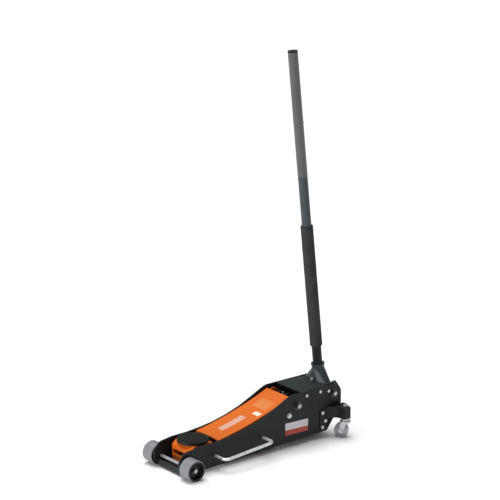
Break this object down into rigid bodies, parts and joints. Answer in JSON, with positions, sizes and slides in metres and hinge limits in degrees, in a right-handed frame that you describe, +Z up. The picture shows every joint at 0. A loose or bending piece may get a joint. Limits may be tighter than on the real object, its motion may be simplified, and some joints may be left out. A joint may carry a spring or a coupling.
{
  "type": "trolley car jack",
  "caption": "Low trolley car jack with steel side plates, orange lift arm, round saddle, carry bars, swivel rear casters and a tall pump handle.",
  "frame": {"origin": "point on the floor under the middle of the front axle", "axes": "+X forward to the saddle end, +Y to the jack's left, +Z up"},
  "size_m": [0.6475, 0.242, 1.2263],
  "materials": {
    "black_paint": "satin",
    "cover_paint": "satin",
    "orange_paint": "gloss",
    "socket_paint": "satin",
    "tube_paint": "satin",
    "tube_grey": "satin",
    "zinc": "zinc plated",
    "dark_zinc": "black zinc plated",
    "bright_rod": "polished",
    "machined_steel": "machined",
    "cast_block": "painted casting",
    "wheel_cast": "as cast",
    "caster_steel": "turned",
    "foam": "foam",
    "rubber_pad": "matt",
    "black_plastic": "matt",
    "label_face": "printed plate"
  },
  "bodies": {
    "frame": {"side_plate_left": "black_paint", "side_plate_right": "black_paint", "cover_plate": "cover_paint", "front_cross_plate": "black_paint", "frame_tie_rod": "black_paint", "front_axle": "zinc", "axle_nuts": "dark_zinc", "lift_arm_shaft": "machined_steel", "shaft_nuts": "dark_zinc", "link_anchor_bolts": "zinc", "frame_bolts": "zinc", "hydraulic_block": "cast_block", "ram_cylinder": "cast_block", "gland_nut": "machined_steel", "oil_reservoir": "cast_block", "filler_plug": "zinc", "spring_anchor_pins": "machined_steel", "caster_bracket_left": "black_paint", "caster_bracket_right": "black_paint", "bracket_bolts": "zinc", "carry_handle_left": "bright_rod", "carry_handle_right": "bright_rod", "label_plates": "label_face", "socket_pivot_bolts": "zinc", "socket_pivot_nuts": "dark_zinc"},
    "arm": {"lift_arm": "orange_paint", "arm_pivot_tube": "black_paint", "arm_crank": "black_paint", "crank_pin": "machined_steel", "arm_tip_pin": "machined_steel", "grease_nipple": "zinc"},
    "link_left": {"link_rod_left": "black_paint"},
    "link_right": {"link_rod_right": "black_paint"},
    "cradle": {"saddle_cradle": "orange_paint", "cradle_pins": "machined_steel"},
    "saddle_top": {"saddle": "black_paint", "saddle_pad": "rubber_pad"},
    "ram": {"ram_rod": "bright_rod", "ram_crosshead": "cast_block", "return_springs": "machined_steel"},
    "socket": {"handle_socket": "socket_paint", "roller_pins": "machined_steel", "socket_screw": "zinc"},
    "rollers": {"pump_rollers": "machined_steel"},
    "plungers": {"pump_plungers": "machined_steel"},
    "handle": {"lower_tube": "tube_paint", "upper_tube": "tube_grey", "foam_sleeve": "foam", "snap_button": "black_plastic", "handle_cap": "black_plastic", "release_drive_rod": "machined_steel"},
    "valve": {"release_valve": "machined_steel"},
    "wheel_left": {"front_wheel_left": "wheel_cast"},
    "wheel_right": {"front_wheel_right": "wheel_cast"},
    "fork_left": {"caster_fork_left": "zinc", "caster_hardware_left": "zinc"},
    "fork_right": {"caster_fork_right": "zinc", "caster_hardware_right": "zinc"},
    "caster_left": {"caster_wheel_left": "caster_steel"},
    "caster_right": {"caster_wheel_right": "caster_steel"}
  },
  "joints": [
    {"name": "arm_lift", "type": "hinge", "parent": "frame", "child": "arm", "pos_m": [-0.428, 0, 0.131], "axis": [0, -1, 0], "range_deg": [0, 70]},
    {"name": "link_left_swing", "type": "hinge", "parent": "frame", "child": "link_left", "pos_m": [-0.394, 0, 0.105], "axis": [0, -1, 0], "range_deg": [0, 70]},
    {"name": "link_right_swing", "type": "hinge", "parent": "frame", "child": "link_right", "pos_m": [-0.394, 0, 0.105], "axis": [0, -1, 0], "range_deg": [0, 70]},
    {"name": "cradle_level", "type": "hinge", "parent": "arm", "child": "cradle", "pos_m": [-0.095, 0, 0.05], "axis": [0, -1, 0], "range_deg": [-70, 0]},
    {"name": "saddle_spin", "type": "hinge", "parent": "cradle", "child": "saddle_top", "pos_m": [-0.073, 0, 0.08], "axis": [0, 0, 1], "continuous": true},
    {"name": "ram_stroke", "type": "slide", "parent": "frame", "child": "ram", "axis": [1, 0, 0], "range_m": [0, 0.06893], "deforming": ["return_springs"]},
    {"name": "socket_tilt", "type": "hinge", "parent": "frame", "child": "socket", "pos_m": [-0.574, 0, 0.14], "axis": [0, -1, 0], "range_deg": [0, 60]},
    {"name": "roller_spin", "type": "hinge", "parent": "socket", "child": "rollers", "pos_m": [-0.589, 0, 0.11402], "axis": [0, 1, 0], "continuous": true},
    {"name": "plunger_stroke", "type": "slide", "parent": "frame", "child": "plungers", "axis": [1, 0, 0], "range_m": [0, 0.0301]},
    {"name": "handle_twist", "type": "hinge", "parent": "socket", "child": "handle", "pos_m": [-0.574, 0, 0.14], "axis": [0.108, 0, 0.9942], "range_deg": [0, 90]},
    {"name": "valve_turn", "type": "hinge", "parent": "frame", "child": "valve", "pos_m": [-0.574, 0, 0.14], "axis": [-0.7071, 0, 0.7071], "range_deg": [0, 90]},
    {"name": "front_wheel_left_spin", "type": "hinge", "parent": "frame", "child": "wheel_left", "pos_m": [0, 0.093, 0.0325], "axis": [0, 1, 0], "continuous": true},
    {"name": "front_wheel_right_spin", "type": "hinge", "parent": "frame", "child": "wheel_right", "pos_m": [0, -0.093, 0.0325], "axis": [0, 1, 0], "continuous": true},
    {"name": "caster_left_swivel", "type": "hinge", "parent": "frame", "child": "fork_left", "pos_m": [-0.595, 0.1, 0.05], "axis": [0, 0, 1], "continuous": true},
    {"name": "caster_right_swivel", "type": "hinge", "parent": "frame", "child": "fork_right", "pos_m": [-0.595, -0.1, 0.05], "axis": [0, 0, 1], "continuous": true},
    {"name": "caster_left_spin", "type": "hinge", "parent": "fork_left", "child": "caster_left", "pos_m": [-0.58713, 0.09094, 0.0225], "axis": [0.7547, 0.6561, 0], "continuous": true},
    {"name": "caster_right_spin", "type": "hinge", "parent": "fork_right", "child": "caster_right", "pos_m": [-0.58713, -0.09094, 0.0225], "axis": [0.7547, -0.6561, 0], "continuous": true}
  ],
  "couplings": [
    {"joint": "link_left_swing", "follows": "arm_lift", "ratio": 1},
    {"joint": "link_right_swing", "follows": "arm_lift", "ratio": 1},
    {"joint": "cradle_level", "follows": "arm_lift", "ratio": -1},
    {"joint": "ram_stroke", "follows": "arm_lift", "m_per_rad": 0.056337},
    {"joint": "plunger_stroke", "follows": "socket_tilt", "m_per_rad": 0.028648},
    {"joint": "valve_turn", "follows": "handle_twist", "ratio": 1}
  ]
}
